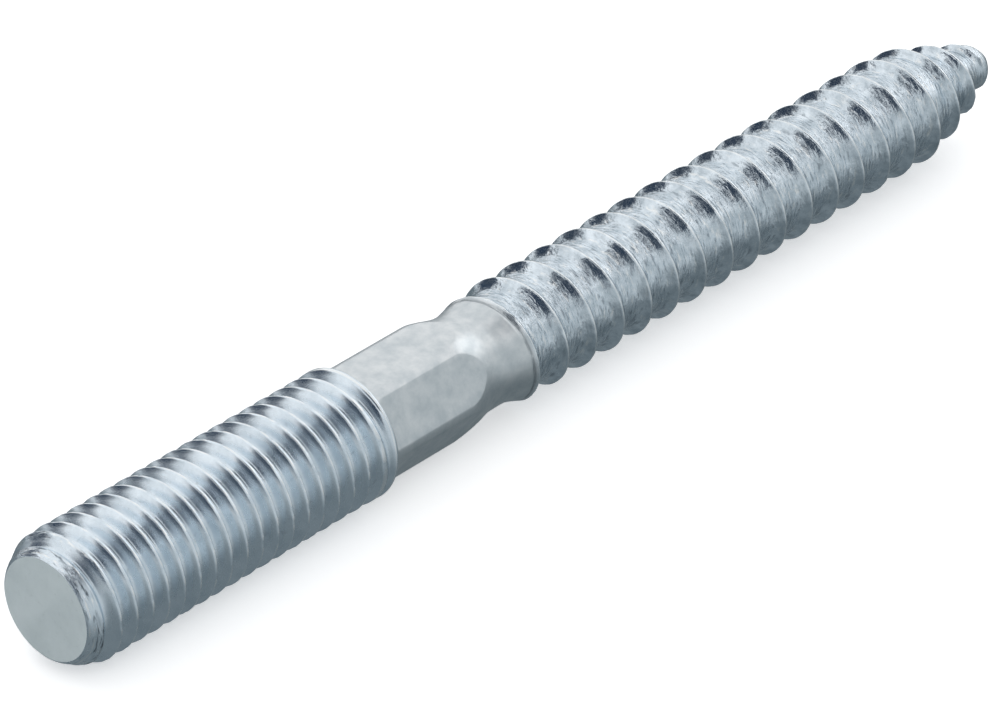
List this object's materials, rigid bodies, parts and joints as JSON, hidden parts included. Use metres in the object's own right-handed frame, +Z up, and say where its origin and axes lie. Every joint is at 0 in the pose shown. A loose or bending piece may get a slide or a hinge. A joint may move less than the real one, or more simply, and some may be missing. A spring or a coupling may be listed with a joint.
{
  "type": "hanger bolt",
  "caption": "Headless steel hanger bolt: a machine thread with a chamfered flat end, a hexagon drive and neck in the middle, and a coarse wood thread that runs to a blunt tapered tip.",
  "frame": {"origin": "middle of the flat end of the machine thread", "axes": "+X along the bolt's axis, from the flat end to the tip of the wood thread; +Z up, with the bolt lying on its side"},
  "size_m": [0.1, 0.0098, 0.0098],
  "materials": {
    "zinc_steel": "blue-white zinc plating, bright on the rolled threads and matt on the flat end"
  },
  "bodies": {
    "root": {"hanger_bolt": "zinc_steel"}
  },
  "joints": []
}
